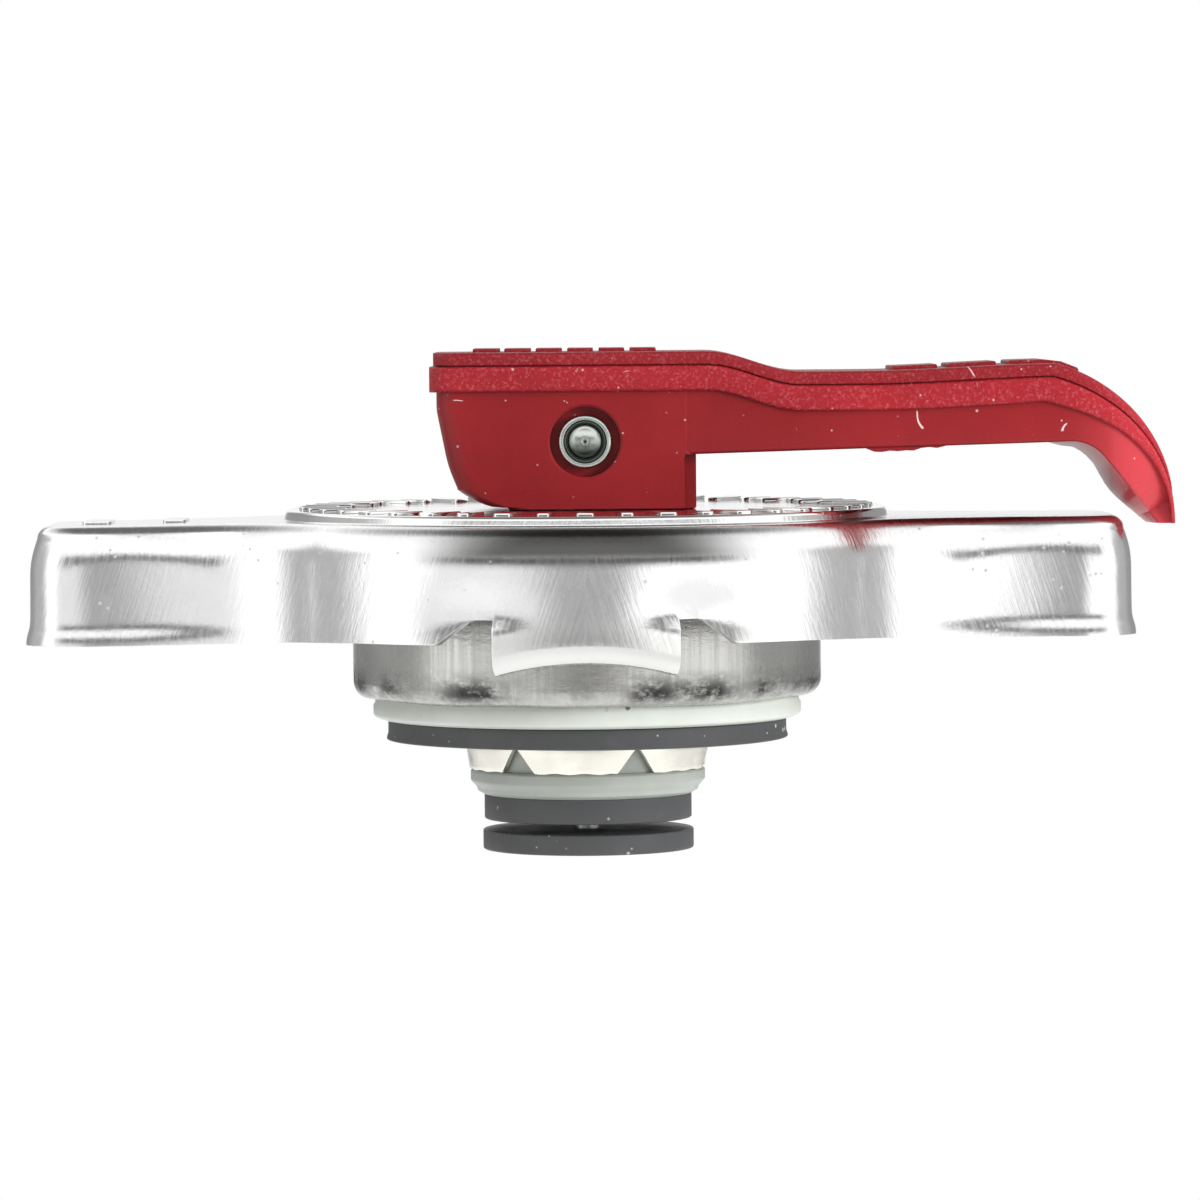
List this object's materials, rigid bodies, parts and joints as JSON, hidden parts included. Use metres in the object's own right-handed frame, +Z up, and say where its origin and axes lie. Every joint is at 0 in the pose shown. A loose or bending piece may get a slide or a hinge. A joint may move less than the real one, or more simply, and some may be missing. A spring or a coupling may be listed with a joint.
{
  "type": "radiator cap",
  "caption": "Pressure radiator cap: stamped two-eared steel shell with locking lugs, sealing bell, sprung pressure valve, vacuum disc and a swinging plastic release lever.",
  "frame": {"origin": "centre of the upper seal's lower face, on the cap's axis", "axes": "+Z up along the cap's axis, +X along the lever towards its tip, +Y across the lever"},
  "size_m": [0.0821, 0.0484, 0.0359],
  "materials": {
    "shell_steel": "bright stamped steel, lightly scratched",
    "bell_steel": "bright drawn steel, vertically brushed, stained at the mouth",
    "cup_steel": "pale plated steel",
    "plated_steel": "plated steel",
    "spring_steel": "stainless spring steel",
    "red_plastic": "red moulded plastic, grained cap and smooth walls",
    "grey_plastic": "pale grey moulded plastic",
    "rubber": "black moulded rubber"
  },
  "bodies": {
    "cap": {"shell": "shell_steel", "spring_disc": "spring_steel", "eyelet": "plated_steel", "bell_washer": "plated_steel", "stem_seal": "rubber"},
    "bell": {"bell": "bell_steel", "gasket_carrier": "grey_plastic", "upper_seal": "rubber", "main_spring": "spring_steel"},
    "stem": {"stem": "plated_steel", "lift_washer": "plated_steel", "lever_pin": "plated_steel"},
    "lever": {"lever": "red_plastic"},
    "pressure_valve": {"valve_cup": "cup_steel", "valve_body": "grey_plastic", "pressure_seal": "rubber"},
    "vacuum_valve": {"vacuum_disc": "rubber", "vacuum_stem": "plated_steel", "vacuum_keeper": "plated_steel"}
  },
  "joints": [
    {"name": "bell_swivel", "type": "hinge", "parent": "cap", "child": "bell", "pos_m": [0, 0, 0.009], "axis": [0, 0, 1], "continuous": true},
    {"name": "stem_lift", "type": "slide", "parent": "cap", "child": "stem", "axis": [0, 0, 1], "range_m": [0, 0.00454], "deforming": ["main_spring"]},
    {"name": "lever_swing", "type": "hinge", "parent": "stem", "child": "lever", "pos_m": [0, 0, 0.02153], "axis": [0, -1, 0], "range_deg": [0, 50]},
    {"name": "pressure_relief", "type": "slide", "parent": "stem", "child": "pressure_valve", "axis": [0, 0, 1], "range_m": [0, 0.0015], "stiffness_N_per_m": 2000, "springref_m": -0.006, "deforming": ["main_spring"]},
    {"name": "vacuum_lift", "type": "slide", "parent": "pressure_valve", "child": "vacuum_valve", "axis": [0, 0, 1], "range_m": [0, 0.0007]}
  ],
  "couplings": [
    {"joint": "stem_lift", "follows": "lever_swing", "m_per_rad": 0.0052}
  ]
}
